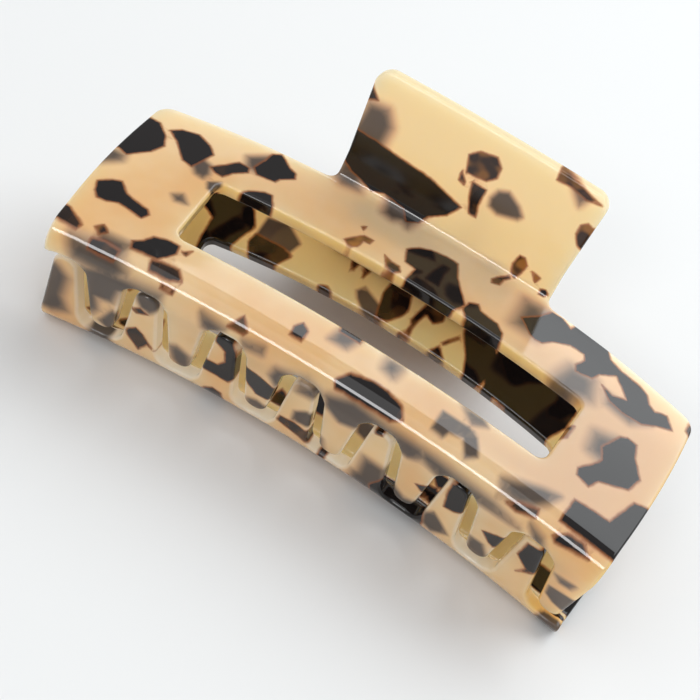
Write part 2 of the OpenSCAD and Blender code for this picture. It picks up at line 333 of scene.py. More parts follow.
def outward(loop, sign):
    """Unit normals of a closed loop at its points, away from the sheet."""
    before, after = loop - np.roll(loop, 1, 0), np.roll(loop, -1, 0) - loop
    area = 0.5 * (loop[:, 0] * np.roll(loop[:, 1], -1) - np.roll(loop[:, 0], -1) * loop[:, 1]).sum()

    def side(v):
        v = v / np.linalg.norm(v, axis=1, keepdims=True)
        return np.stack([v[:, 1], -v[:, 0]], -1)
    n0, n1 = side(before), side(after)
    n = n0 + n1
    n /= np.linalg.norm(n, axis=1, keepdims=True)
    stretch = 1 / np.clip((n * n0).sum(1), 0.6, 1)
    return n * math.copysign(1, area) * sign, stretch


def inside(points, loop):
    """Even-odd test of points against a closed loop."""
    x, y = points[:, 0:1], points[:, 1:2]
    a, b = loop, np.roll(loop, -1, 0)
    crosses = (a[None, :, 1] > y) != (b[None, :, 1] > y)
    with np.errstate(divide="ignore", invalid="ignore"):
        at = a[:, 0] + (y - a[:, 1]) / (b[:, 1] - a[:, 1]) * (b[:, 0] - a[:, 0])
    return (crosses & (x < at)).sum(1) % 2 == 1


# ---------------------------------------------------------------- the flakes in the sheet

# Each flake: softness of its outline, tone from black (0) to brown (1), then its corners (x, u) in the flat
# sheet. A soft flake lies deep under the outer face. u runs from the handle's tip to the tooth tips.
HANDLE_FLAKES = [
    (0.0, 0.3, [(-25, 5.8), (-22, 9), (-25, 10.3)]),
    (1.0, 0.0, [(-23.5, 10), (-19.5, 9.6), (-17.5, 12.5), (-17.8, 17.5), (-24.5, 17.5)]),
    (0.0, 0.0, [(-25, 16), (-19, 16.4), (-14, 17.1), (-7, 17.6), (-3.5, 18.6), (0.6, 19.6), (-1.2, 22.6),
                (-4.2, 25), (-5.2, 28), (-7.2, 29.8), (-9, 26.5), (-13.5, 25.5), (-16, 26.8), (-18.8, 25.2),
                (-21, 24.5), (-25, 22)]),
    (1.2, 0.0, [(-24, 21), (-18.5, 24), (-18, 28.6), (-21.5, 29.4), (-24, 27.5)]),
    (0.9, 0.0, [(-13, 24.5), (-4.8, 25), (-6.2, 31.4), (-8, 30.4), (-9.5, 31.6), (-11.8, 31)]),
    (0.0, 0.55, [(-2.6, 9.5), (-1, 7.8), (2.3, 7.1), (3.8, 8.6), (3.9, 10.8), (2.5, 12.4), (-1.6, 12.9)]),
    (0.0, 0.3, [(-2.4, 13.1), (-0.9, 14.6), (-0.9, 15.3), (-2.2, 15)]),
    (0.0, 0.15, [(0.2, 13.9), (3.2, 13.9), (3.2, 17.5), (3.8, 19.9), (2.3, 19.9), (1, 17)]),
    (0.45, 0.15, [(4.6, 14.8), (5.3, 12.8), (7.2, 11.9), (10, 13.4), (11.4, 14.8), (10.8, 15.8), (7, 17),
                  (5, 16.4)]),
    (0.0, 0.5, [(13.4, 2.4), (18, 3.2), (21, 4.1), (23, 4.5), (20, 5.2), (17, 4.6), (13.6, 4.8)]),
    (0.7, 0.3, [(17, 4.5), (20.2, 5), (19.4, 6.9)]),
    (0.0, 0.75, [(21.4, 10), (22.5, 8.9), (25, 9.6), (25, 14.8), (22.6, 13.8), (21.5, 12)]),
    (0.0, 0.8, [(14, 24), (14.5, 21.8), (15.5, 21.7), (16.6, 22.8), (16.2, 24.8), (15.6, 27.2),
                (14.6, 26.5)]),
    (0.0, 0.8, [(17.9, 23.3), (19.8, 23.6), (19.3, 25.1)]),
    (0.2, 0.2, [(14.6, 27.2), (15, 28), (14.2, 29.4), (14, 31.5), (12.6, 32.2), (12.2, 31.2), (13.4, 29)]),
    (0.0, 0.1, [(20.8, 25.8), (21.8, 25.1), (22.7, 26), (22, 27.2), (21, 27.4)]),
]
PLATE_FLAKES = [
    (0.0, 0.0, [(-60, 37.5), (-55, 38), (-52.5, 40.5), (-51, 43.5), (-52, 46.5), (-54.8, 50), (-60, 48)]),
    (0.8, 0.0, [(-59, 49.5), (-54.8, 50.5), (-54.5, 52), (-57.5, 55)]),
    (0.0, 0.0, [(-52.6, 38.7), (-51, 37), (-48, 36.1), (-45, 37.5), (-43.2, 39.5), (-43.8, 42.5),
                (-44.5, 45.2), (-46.6, 44.8), (-50, 40.8)]),
    (0.5, 0.0, [(-44.5, 41.6), (-42, 42.5), (-41, 45), (-41.4, 46.8), (-43, 46.5), (-44.8, 44.5)]),
    (0.0, 0.05, [(-42, 43), (-40.2, 40.5), (-38.6, 38), (-36.5, 38.1), (-36, 39.5), (-38, 41.8),
                 (-38.9, 44), (-40.4, 43.8)]),
    (0.0, 0.0, [(-35.2, 31.5), (-33.8, 30.2), (-31, 32.6), (-29.2, 33.4), (-28.6, 34.8), (-30.7, 37),
                (-31, 38.3), (-34.6, 38.9), (-36, 37.3), (-35.4, 34)]),
    (0.7, 0.0, [(-38.4, 35.4), (-35, 32), (-34.5, 38.4), (-37.2, 38)]),
    (0.0, 0.0, [(-35.2, 46.6), (-33.5, 44), (-31, 42.2), (-29.6, 42), (-28, 44.8), (-26.2, 48.5),
                (-34.6, 49)]),
    (0.3, 0.1, [(-40.2, 46.9), (-38.3, 45.4), (-37, 47), (-37, 49.5), (-39.4, 48.6)]),
    (0.5, 0.2, [(-43.2, 54), (-41.8, 52.8), (-40, 54.6), (-42, 55.1)]),
    (0.0, 0.0, [(-54.9, 59), (-53, 57.2), (-51.5, 56.6), (-49.3, 58.8), (-47, 59.5), (-44.5, 60),
                (-43.6, 61), (-44.2, 62.5), (-46.8, 62), (-49.2, 61.6), (-51, 62.5), (-52.8, 62.6),
                (-54, 61.2)]),
    (0.0, 0.0, [(-42.6, 68), (-41, 66.8), (-40.2, 65), (-38, 64.2), (-35.6, 64.2), (-35, 66.2), (-36, 68),
                (-37, 69), (-41.8, 69.3)]),
    (0.0, 0.6, [(-34.6, 65.3), (-33.2, 63.9), (-33.5, 65.6)]),
    (0.0, 0.05, [(-58, 66.8), (-54.8, 67.2), (-53.2, 68.4), (-51, 69.4), (-51.4, 70.2), (-58, 69.8)]),
    (0.0, 0.4, [(-49.2, 68.8), (-48.2, 67.6), (-46.6, 68.8), (-47.6, 69.5)]),
    (0.7, 0.0, [(-47.5, 69), (-42, 68.8), (-42.5, 71), (-47.5, 71)]),
    (0.9, 0.0, [(-52, 71), (-43, 70.6), (-40, 72.5), (-42, 74.4), (-50, 74)]),
    (0.0, 0.05, [(-37.8, 69.5), (-36, 69), (-32.8, 68.9), (-31, 70.2), (-33, 70.8), (-37, 70.8)]),
    (0.0, 0.2, [(-33.8, 71.5), (-31.4, 71.5), (-31.4, 72.1), (-33.8, 72.1)]),
    (0.0, 0.1, [(-48.5, 70.3), (-46, 70), (-43, 70.2), (-43, 71.8), (-48, 71.8)]),
    (0.0, 0.3, [(-20.4, 72.3), (-18.8, 70.2), (-16.8, 71.8), (-17.2, 72.3)]),
    (0.2, 0.7, [(-13.9, 43), (-12.8, 41), (-11.5, 39.3), (-9.6, 39.2), (-9.8, 40.6), (-11, 40.8),
                (-11.2, 43), (-12.4, 44)]),
    (0.0, 0.8, [(-13, 37.5), (-12.3, 36.7), (-12.4, 38.1)]),
    (0.0, 0.6, [(-12.8, 45.2), (-10.5, 46), (-8.2, 45.2), (-8.6, 47), (-12, 47)]),
    (0.0, 0.5, [(-6.3, 41.1), (-4.5, 41.8), (-2.8, 41.8), (-2, 43), (-3.2, 44.2), (-4.8, 43.6)]),
    (0.0, 0.0, [(-3.8, 36.5), (-2.2, 34.5), (0, 33.2), (3, 32.6), (5.5, 32.6), (7, 36), (9.2, 39),
                (11.2, 41.5), (9.8, 44.5), (7, 47), (0.5, 47), (-0.5, 43.6), (-0.2, 40.2), (-2.6, 39.8)]),
    (0.0, 0.0, [(11.4, 40.3), (13, 39.2), (14, 40.5), (17.8, 41), (19.6, 42.5), (20.2, 44.8), (18, 45.3),
                (14.5, 47), (12.8, 44.5), (11, 42.6)]),
    (0.0, 0.0, [(23.6, 32.5), (25, 29.8), (27.3, 29.6), (29.5, 31), (30, 29), (35, 29), (37.5, 30),
                (38.6, 31.8), (41.5, 32.8), (45.5, 33.2), (47.5, 34), (48.5, 35.8), (50, 36.6), (51, 36),
                (52.3, 35.5), (54.3, 38), (51.5, 39.5), (49, 41.5), (45, 41.9), (42, 41.3), (39.5, 38.9),
                (42, 39.6), (44.6, 38.4), (43, 36.6), (41, 34.7), (38.3, 37), (37.4, 39), (34.2, 40),
                (33.6, 38.5), (34.6, 36.2), (34, 34.8), (31, 34.9), (28, 36.8), (26.5, 38.7), (25, 39),
                (23.8, 38.5), (20.8, 35.8)]),
    (1.3, 0.0, [(33, 39.5), (38, 39), (39.2, 44), (35, 46.4), (31.2, 45.6)]),
    (1.4, 0.1, [(19.5, 31), (24.5, 29.8), (25, 38.5), (20, 38.5)]),
    (0.9, 0.1, [(41, 40), (46, 40.5), (50, 40), (47, 43), (42, 42.4)]),
    (0.0, 0.0, [(46.8, 47.3), (48, 46.4), (50, 46.6), (50.8, 49.5), (53.3, 53), (52.3, 56.5), (49.5, 58),
                (47.2, 59), (46.2, 61.3), (43.5, 60.6), (43, 59.2), (45, 56.5), (46, 54.5), (44.8, 52)]),
    (1.1, 0.0, [(42.6, 50), (46.5, 48.5), (46.8, 55), (43, 54.4)]),
    (0.0, 0.0, [(54.2, 58), (59, 56.2), (59, 70), (44.8, 70), (45.2, 65.2), (49, 64.8), (52, 64.6)]),
    (0.3, 0.0, [(18.6, 66), (24.2, 65.9), (26, 66.8), (27.8, 69.6), (26, 70.6), (24, 68.5), (21.5, 69),
                (21, 70), (18.6, 69.8)]),
    (0.5, 0.0, [(20.5, 62.4), (25.5, 62.3), (26.5, 63.5), (24, 65)]),
    (0.6, 0.0, [(33, 70), (36, 69), (40, 67.4), (43, 66.6), (42, 69), (40, 70.5), (37, 71.5), (34, 71.2)]),
    (0.0, 0.0, [(0.3, 71.2), (2, 69.5), (6, 68.8), (9, 68.9), (12.3, 69.5), (13.9, 71), (12, 71.9),
                (1, 72.1)]),
    (0.0, 0.1, [(35.5, 72), (38, 71), (41, 70.4), (41.3, 71.4), (38, 72.2)]),
    (0.0, 0.0, [(45, 71.9), (47, 70.7), (50, 70.4), (52.2, 71.6), (46, 72.4)]),
    (0.0, 0.1, [(-10.8, 67.5), (-9.9, 65.8), (-8.3, 67), (-8.2, 69.3), (-10.6, 69.3)]),
    (0.0, 0.0, [(-4.6, 60.5), (0.4, 60.5), (0.2, 63.4), (-4, 63.4)]),
    (0.7, 0.0, [(-4, 62.5), (0, 62.5), (-1.2, 66), (-4.6, 66)]),
    (0.9, 0.4, [(5.5, 62.5), (9, 62.5), (8.4, 66), (6, 65.4)]),
    (0.0, 0.5, [(56.3, 33.7), (58, 34), (58, 37), (56.4, 36)]),
    (0.0, 0.5, [(38, 52.5), (39.1, 51.8), (38.9, 55), (38, 56.2)]),
]
UPPER_WALL_FLAKES = [
    (0.7, 0.0, [(-48.4, 74.6), (-44, 73.4), (-33, 72.8), (-32.6, 75), (-38, 75.8), (-40.6, 77),
                (-41.6, 81.6), (-44.8, 82.4), (-44.4, 86.5), (-45.6, 88.8), (-47.8, 88.4), (-48.4, 80)]),
    (0.4, 0.1, [(-41.5, 84), (-40.5, 86), (-41.5, 92), (-44, 90)]),
    (0.8, 0.0, [(-30, 86), (-28.4, 84.8), (-25.6, 86.4), (-25.2, 90), (-26.4, 93), (-29, 90)]),
    (0.6, 0.0, [(-25.6, 72.3), (-20.5, 72.8), (-22, 75), (-24.5, 74.2)]),
    (0.6, 0.0, [(-17, 73), (-13, 72.4), (-12.8, 73.3), (-16.5, 73.8)]),
    (0.0, 0.0, [(-15.2, 78.6), (-12, 79.3), (-8.3, 81), (-8.6, 85.8), (-12, 86), (-14.8, 83)]),
    (0.5, 0.0, [(-13.8, 89), (-11.5, 88), (-9, 88.8), (-9.4, 92.5), (-13, 92.5)]),
    (0.6, 0.0, [(-10.4, 77), (-9.8, 74.2), (-4, 73), (0, 73.8), (-1, 75.2), (-5, 74.6), (-8.8, 80)]),
    (0.6, 0.0, [(0, 73.5), (5, 72.2), (12, 72.6), (22, 72.6), (34, 73), (40, 74), (28, 75), (24, 75.2),
                (20, 73.9), (17.5, 75.6), (10, 74.2), (8, 77), (4, 78.6), (1, 76)]),
    (0.6, 0.1, [(0, 86), (2.2, 87.5), (3, 91), (1.6, 93)]),
    (0.2, 0.1, [(20.8, 82.2), (22.5, 80.6), (23.6, 82), (22.8, 84)]),
    (0.6, 0.0, [(15.5, 86), (17, 87), (20, 89.5), (23, 88), (25, 87), (25, 93), (16, 93)]),
    (0.2, 0.0, [(34.8, 82), (37, 80.5), (39.8, 78.8), (39.3, 83), (38, 85), (36.8, 84.4)]),
    (0.5, 0.0, [(33.3, 86.4), (36.2, 86.3), (38.5, 91), (38, 92.5), (34, 92.5)]),
    (0.5, 0.1, [(41, 72.4), (44, 73), (45.8, 74.8), (44, 75.4)]),
    (0.5, 0.0, [(49, 78.5), (53, 77.6), (52.5, 79.8), (50.5, 80.2)]),
    (0.3, 0.0, [(49.3, 83.4), (56, 81.8), (56, 88.7), (51.5, 87.9), (49.6, 86.5)]),
]
LOWER_WALL_FLAKES = [
    (0.2, 0.0, [(-47.2, 85), (-44.8, 83.5), (-42, 86), (-42.5, 90.8), (-46, 91.8), (-47.6, 90)]),
    (0.1, 0.1, [(-46.2, 84), (-44, 82), (-43.3, 81.2), (-44.6, 84)]),
    (0.2, 0.0, [(-31.5, 86), (-29, 84), (-27, 83.5), (-26.4, 88), (-26.5, 91), (-28, 92.5), (-31, 92)]),
    (0.9, 0.0, [(-16, 77), (-13, 74), (-10.5, 75), (-10.5, 82), (-15, 82)]),
    (0.1, 0.3, [(-12.4, 93), (-12, 90.8), (-10.6, 90.4), (-10.2, 93)]),
    (0.4, 0.0, [(0.3, 80), (4.2, 79.6), (4.2, 82.4), (2, 84.4), (0.4, 83.4)]),
    (0.8, 0.1, [(1, 89), (5, 88.4), (5, 91), (2, 91.4)]),
    (0.2, 0.0, [(15.8, 82), (17.5, 79.4), (20, 79.7), (23.6, 79.8), (22.8, 83), (20.2, 83.2), (19, 85),
                (19.5, 88), (21.6, 89.5), (22.2, 92.5), (18.6, 92), (17.3, 88), (16.4, 85)]),
    (0.1, 0.1, [(32.3, 76.8), (34, 78), (35.4, 75.3), (38, 78.4), (38.5, 79.8), (36.6, 81.7),
                (35, 80.5)]),
    (0.0, 0.3, [(34.8, 87), (37, 86), (38.2, 86.8), (36.4, 88)]),
    (0.5, 0.0, [(32.6, 90), (34.6, 87.6), (36.6, 88.4), (38.4, 92.6), (33, 92.6)]),
    (0.9, 0.0, [(50, 77), (53, 75.5), (57, 75.5), (57, 88), (53, 90.5), (50.6, 87), (51.4, 81)]),
    (0.2, 0.0, [(-25, 70), (-20, 69), (-15, 70), (-13.4, 75), (-15, 78.6), (-16.8, 79.2), (-17.5, 77),
                (-21, 75.5), (-24, 78.4), (-25, 75)]),
    (0.9, 0.0, [(-14, 71), (-9.5, 71), (-9.5, 76), (-14.5, 79)]),
    (0.4, 0.0, [(-30, 76.5), (-27, 74.2), (-25, 75), (-24.4, 78), (-26, 80.2), (-28, 78.5)]),
    (0.3, 0.0, [(-56, 71.5), (-51.5, 70.4), (-50.4, 74), (-52.5, 76.2), (-56, 76)]),
    (0.0, 0.2, [(-4, 71.5), (-2.8, 71.5), (-2, 74.6), (0.5, 75.1), (3, 75.9), (7, 76.9), (6.4, 78.6),
                (3.5, 79), (1, 78.4), (-0.5, 80.6), (-2, 79.6), (-3.5, 76.5)]),
    (0.1, 0.05, [(17.5, 73), (18.2, 70.7), (20, 69.8), (22.6, 70.5), (22.7, 72), (21.6, 74.3),
                 (20, 75.4), (18.2, 75.1)]),
    (0.6, 0.0, [(40, 71.5), (47, 71), (45, 75.4), (42, 76)]),
]
LOWER_PLATE_FLAKES = [
    (0.0, 0.0, [(-39, 34), (-20.6, 34), (-20, 38), (-20.6, 42), (-21.5, 43.6), (-20.4, 47), (-22, 47),
                (-24, 44.4), (-27, 44.8), (-28.6, 47), (-36, 47), (-37.2, 43.5), (-38.6, 41)]),
    (0.0, 0.0, [(-20.2, 37.4), (-18.6, 35), (-12, 34), (-12.2, 36.6), (-15, 40.5), (-17.4, 46.2),
                (-19.8, 44.4), (-20.8, 42)]),
    (0.0, 0.6, [(-12.8, 38.6), (-12.2, 38.6), (-10.2, 41.4), (-10.6, 41.7)]),
    (0.1, 0.2, [(-8.4, 37), (-7.5, 34), (-4.5, 34), (-3.4, 38.4), (-3, 40.3), (-3.6, 40.8), (-3.4, 44),
                (-4.2, 44), (-4.3, 40), (-5, 37.6), (-7, 38.6)]),
    (0.0, 0.3, [(-4.3, 44), (-2, 43.7), (-1.3, 47), (-4.5, 47)]),
    (0.1, 0.1, [(-1.9, 39.5), (-1, 37), (0, 34), (3.6, 34), (4.1, 38.5), (3.4, 41.5), (2.8, 43.9),
                (0.6, 43.5), (-1, 41.5)]),
    (1.0, 0.4, [(3.4, 41), (8, 39.2), (9.2, 41), (5, 44.5), (3.4, 47), (0, 46.6)]),
    (0.7, 0.2, [(-12.2, 44.4), (-10, 42), (-7, 47), (-12.2, 47)]),
    (0.3, 0.5, [(7.8, 34), (10.4, 34), (9, 38.4)]),
    (0.3, 0.5, [(11.2, 34), (13.8, 34), (12.2, 38.4)]),
    (0.1, 0.3, [(12.4, 44.2), (14, 43.5), (15.4, 44), (15.2, 46.4), (14, 45.8)]),
    (0.0, 0.1, [(22.7, 41), (25, 40.2), (31, 40.1), (31.6, 42), (30, 45), (28, 47), (25.5, 45.8),
                (24.4, 44)]),
    (1.0, 0.3, [(23.2, 38.4), (27, 36), (31.4, 36.6), (31.4, 41), (24, 41)]),
    (0.0, 0.0, [(31.7, 39.5), (33.5, 36.8), (36.5, 34), (43, 34.4), (43, 39.6), (39.6, 41.5),
                (39.4, 46), (38.6, 49), (35.4, 49), (34, 46.6), (33, 43)]),
]
UPPER_FLAKES = HANDLE_FLAKES + PLATE_FLAKES + UPPER_WALL_FLAKES
LOWER_FLAKES = LOWER_PLATE_FLAKES + LOWER_WALL_FLAKES + [
    (soft, tone, [(-x, u) for x, u in corners]) for soft, tone, corners in HANDLE_FLAKES + PLATE_FLAKES
    if not any(34 < u < 49 and abs(x) < 45 for x, u in corners) and corners[0][1] < 69]
FLAKE_SLANT = 0.12
FLAKE_TURN = 2.4
FLAKE_REACH = 26
HAZE_SPREAD = 1.3
INNER_CLEARING = 0.7
CRISP_BLUR = 0.25


def depth_inside(points, loop):
    """Distance of points inside a closed outline, negative outside it."""
    a, b = loop, np.roll(loop, -1, 0)
    ab = b - a
    to = points[:, None, :] - a[None]
    k = np.clip((to * ab).sum(2) / (ab * ab).sum(1), 0, 1)
    near = np.linalg.norm(to - k[..., None] * ab, axis=2).min(1)
    return np.where(inside(points, loop), near, -near)


def flake_facts(points, flakes):
    """Per point of the sheet: depth inside the nearest crisp flake, its tone, and the same depth for soft
    ones in units of their blur."""
    crisp = np.full(len(points), -9.0)
    tone = np.zeros(len(points))
    haze = np.full(len(points), -3.0)
    under = points[:, 2] / SHEET_T
    for i, (soft, shade, corners) in enumerate(flakes):
        way = np.array([[math.cos(FLAKE_TURN * i), math.sin(FLAKE_TURN * i)]])
        slant = points[:, 2:3] * FLAKE_SLANT * way
        near = np.abs(points[:, 0] - np.mean([c[0] for c in corners])) < FLAKE_REACH
        d = np.full(len(points), -9.0)
        d[near] = depth_inside(points[near, :2] - slant[near], np.array(corners, float))
        blur = soft * (1 - INNER_CLEARING * under)
        is_crisp = blur < CRISP_BLUR
        better = is_crisp & (d > crisp)
        tone[better] = shade
        crisp[better] = d[better]
        depths = np.clip(d / np.maximum(HAZE_SPREAD * blur, CRISP_BLUR), -3, 3)
        haze = np.maximum(haze, np.where(is_crisp, -3.0, depths))
    return crisp, tone, haze


# ---------------------------------------------------------------- meshes

def finished_mesh(name, verts, faces, normals=None, facts=None):
    mesh = bpy.data.meshes.new(name)
    mesh.from_pydata([tuple(v) for v in verts], [], [tuple(int(i) for i in f) for f in faces])
    bm = bmesh.new()
    bm.from_mesh(mesh)
    bmesh.ops.recalc_face_normals(bm, faces=bm.faces)
    bm.to_mesh(mesh)
    bm.free()
    mesh.polygons.foreach_set("use_smooth", [True] * len(mesh.polygons))
    for key, values in (facts or {}).items():
        kind, field = ("FLOAT_VECTOR", "vector") if values.ndim == 2 else ("FLOAT", "value")
        at = mesh.attributes.new(key, kind, "POINT")
        at.data.foreach_set(field, values.astype(np.float32).ravel())
    if normals is not None:
        mesh.normals_split_custom_set_from_vertices([tuple(n) for n in normals])
    mesh.update()
    obj = bpy.data.objects.new(name, mesh)
    bpy.context.scene.collection.objects.link(obj)
    return obj


def rim_rows():
    """Inset, depth and lean of the rim's rings, from the outer face round the edge to the inner face."""
    rows = []
    for i in range(EDGE_STEPS + 1):
        a = math.pi / 2 * i / EDGE_STEPS
        rows.append((EDGE_R * (1 - math.sin(a)), EDGE_R * (1 - math.cos(a)), a))
    return rows + [(inset, SHEET_T - depth, math.pi - a) for inset, depth, a in reversed(rows)]


def flake_edge_points(flakes):
    """Points on and just beside the flakes' outlines, so that the mesh carries them sharply."""
    out = []
    for soft, _, corners in flakes:
        loop = resampled(corners, FLAKE_STEP if soft < CRISP_BLUR else 3 * FLAKE_STEP)
        n, _ = outward(loop, 1)
        out += [loop, loop + n * FLAKE_STEP / 2, loop - n * FLAKE_STEP / 2]
    return np.concatenate(out)


def thinned(points, gap):
    """The points without those that crowd an earlier one."""
    taken = {}
    out = []
    for p in points:
        cell = (round(p[0] / gap), round(p[1] / gap))
        beside = [(cell[0] + i, cell[1] + j) for i in (-1, 0, 1) for j in (-1, 0, 1)]
        around = [q for key in beside for q in taken.get(key, [])]
        if all((p[0] - q[0]) ** 2 + (p[1] - q[1]) ** 2 > gap * gap for q in around):
            taken.setdefault(cell, []).append(p)
            out.append(p)
    return np.array(out)


def flat_sheet(flakes):
    """Flat vertices (x, u, depth), their normals as (x, u, out) and faces of the whole jaw."""
    low, side = outline()
    whole = low + side + [(-x, u) for x, u in reversed(side)]
    rim, hole = resampled(whole, OUTLINE_STEP), resampled(window_outline(), OUTLINE_STEP)
    verts, normals, faces = [], [], []
    loops = []
    rows = rim_rows()
    for loop, sign in ((rim, 1), (hole, -1)):
        n, stretch = outward(loop, sign)
        start = len(verts)
        for inset, depth, lean in rows:
            flat = loop - n * stretch[:, None] * inset
            for p, m in zip(flat, n):
                verts.append((p[0], p[1], depth))
                normals.append((m[0] * math.sin(lean), m[1] * math.sin(lean), math.cos(lean)))
        count = len(loop)
        for k in range(len(rows) - 1):
            for i in range(count):
                a, b = start + k * count + i, start + k * count + (i + 1) % count
                faces.append((a, b, b + count, a + count))
        loops.append((start, count, flat))
    outer_loops = [np.array(verts)[s:s + c, :2] for s, c, _ in loops]

    # rows of inner points, close together round the two bends
    us = np.concatenate([np.arange(RUN[CREASE_ROW - 1] - MESH_REACH, CREASE_START, ROW_STEP),
                         np.linspace(CREASE_START, CREASE_END, BEND_ROWS),
                         np.arange(CREASE_END + ROW_STEP, BEND_START - 1, ROW_STEP),
                         np.linspace(BEND_START, BEND_END, BEND_ROWS),
                         np.arange(BEND_END + ROW_STEP, RUN[-1], ROW_STEP)])
    xs = np.arange(-MESH_REACH, MESH_REACH + 0.1, COLUMN_STEP)
    grid = np.array([(x + (COLUMN_STEP / 2 if r % 2 else 0), u) for r, u in enumerate(us) for x in xs])
    edge = np.concatenate(outer_loops)
    grid = thinned(np.concatenate([flake_edge_points(flakes), grid]), CROWDED)
    grid = grid[inside(grid, outer_loops[0]) & ~inside(grid, outer_loops[1])]
    gap = np.array([np.min(((edge - g) ** 2).sum(1)) for g in grid])
    grid = grid[gap > RIM_GAP ** 2]

    flat = np.concatenate([outer_loops[0], outer_loops[1], grid])
    n0, n1 = len(outer_loops[0]), len(outer_loops[1])
    edges = [(i, (i + 1) % n0) for i in range(n0)] + [(n0 + i, n0 + (i + 1) % n1) for i in range(n1)]
    made = geometry.delaunay_2d_cdt([Vector(p) for p in flat], edges, [], 0, 1e-6)
    assert len(made[0]) == len(flat)
    tris = np.array([f for f in made[2] if len(f) == 3])
    back = [ids[0] for ids in made[3]]
    tris = np.array([[back[i] for i in t] for t in tris])
    mid = flat[tris].mean(1)
    tris = tris[inside(mid, outer_loops[0]) & ~inside(mid, outer_loops[1])]

    last = len(rows) - 1
    for depth, out, ring in ((0.0, 1.0, 0), (SHEET_T, -1.0, last)):
        first = len(verts)
        ids = np.concatenate([loops[0][0] + ring * n0 + np.arange(n0),
                              loops[1][0] + ring * n1 + np.arange(n1),
                              first + np.arange(len(grid))])
        for g in grid:
            verts.append((g[0], g[1], depth))
            normals.append((0.0, 0.0, out))
        faces += [tuple(ids[t]) for t in tris]
    return np.array(verts), np.array(normals), faces


def jaw(name, lower, flakes):
    """One whole jaw with tumbled edges."""
    verts, lean, faces = flat_sheet(flakes)
    x, u, depth = verts.T
    p = sheet_point(x, u, depth)
    ax, au, out = sheet_axes(x, u, depth)
    n = ax * lean[:, 0:1] + au * lean[:, 1:2] + out * lean[:, 2:3]
    n /= np.linalg.norm(n, axis=1, keepdims=True)
    q = place(p, lower)
    m = place(n * 1000, lower) - place(np.zeros_like(n), lower)
    m /= np.linalg.norm(m, axis=1, keepdims=True)
    crisp, tone, haze = flake_facts(verts, flakes)
    cut = np.linalg.norm(lean[:, :2], axis=1)
    return finished_mesh(name, q, faces, m, {"sheet": verts, "crisp": crisp, "tone": tone, "haze": haze,
                                             "cut": cut})


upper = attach(jaw("upper_jaw_sheet", False, UPPER_FLAKES), "upper_half")
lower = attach(jaw("lower_jaw_sheet", True, LOWER_FLAKES), "lower_half")
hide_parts("upper_jaw")
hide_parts("lower_jaw")


def turned(name, profile, sides=48):
    """A piece turned about the hinge: profile rows are (x along the hinge, radius), from end to end."""
    rows = rounded([(profile[0][0], 0.0, 0)] + profile + [(profile[-1][0], 0.0, 0)])[1:-1]
    verts, faces = [], []
    for x, r in rows:
        for i in range(sides):
            a = 2 * math.pi * i / sides
            verts.append((x, HINGE_BACK + r * math.cos(a), r * math.sin(a)))
    for k in range(len(rows) - 1):
        for i in range(sides):
            a, b = k * sides + i, k * sides + (i + 1) % sides
            faces.append((a, b, b + sides, a + sides))
    last = len(verts) - sides
    faces += [tuple(range(sides)), tuple(range(last, last + sides))]
    return finished_mesh(name, lying(verts), faces)


def tube(name, line, radius, sides=12):
    """A round wire along a line of points, with rounded ends."""
    line = np.array(line, float)
    along = np.gradient(line, axis=0)
    along /= np.linalg.norm(along, axis=1, keepdims=True)
    across = np.cross(along[0], [1.0, 0, 0])
    rings = [(line[0] - along[0] * radius, 0.05, 0), (line[0] - along[0] * radius * 0.7, 0.7, 0)]
    rings += [(q, 1.0, i) for i, q in enumerate(line)]
    rings += [(line[-1] + along[-1] * radius * 0.7, 0.7, -1), (line[-1] + along[-1] * radius, 0.05, -1)]
    verts, faces = [], []
    for q, size, i in rings:
        across = across - along[i] * (across @ along[i])
        across /= np.linalg.norm(across)
        side = np.cross(along[i], across)
        for j in range(sides):
            a = 2 * math.pi * j / sides
            verts.append(q + radius * size * (across * math.cos(a) + side * math.sin(a)))
    for k in range(len(rings) - 1):
        for j in range(sides):
            a, b = k * sides + j, k * sides + (j + 1) % sides
            faces.append((a, b, b + sides, a + sides))
    last = len(verts) - sides
    faces += [tuple(range(sides)), tuple(range(last, last + sides))]
    return finished_mesh(name, lying(verts), faces)


def spring_line():
    """The torsion spring's wire: the lower leg, the close coil and the upper leg."""
    axis_to_handle = SHEET_T - HINGE_BACK * math.sin(HANDLE_ANGLE) - CREASE_Z * math.cos(HANDLE_ANGLE)
    slant = math.asin((COIL_R - axis_to_handle - WIRE_R - LEG_GAP) / LEG_LEN)
    start = math.pi / 2 - HANDLE_ANGLE - slant
    turn = COIL_TURNS * 2 * math.pi - 2 * start
    half = COIL_PITCH * COIL_TURNS / 2

    def at(x, a, run):
        return (x, HINGE_BACK + COIL_R * math.cos(a) - run * math.sin(a),
                COIL_R * math.sin(a) + run * math.cos(a))
    steps = COIL_TURNS * TURN_STEPS
    lower_leg = [at(-half, start, -LEG_LEN * (1 - i / LEG_STEPS)) for i in range(LEG_STEPS)]
    coil = [at(-half + 2 * half * i / steps, start + turn * i / steps, 0) for i in range(steps + 1)]
    upper_leg = [at(half, start + turn, LEG_LEN * (i + 1) / LEG_STEPS) for i in range(LEG_STEPS)]
    return lower_leg + coil + upper_leg


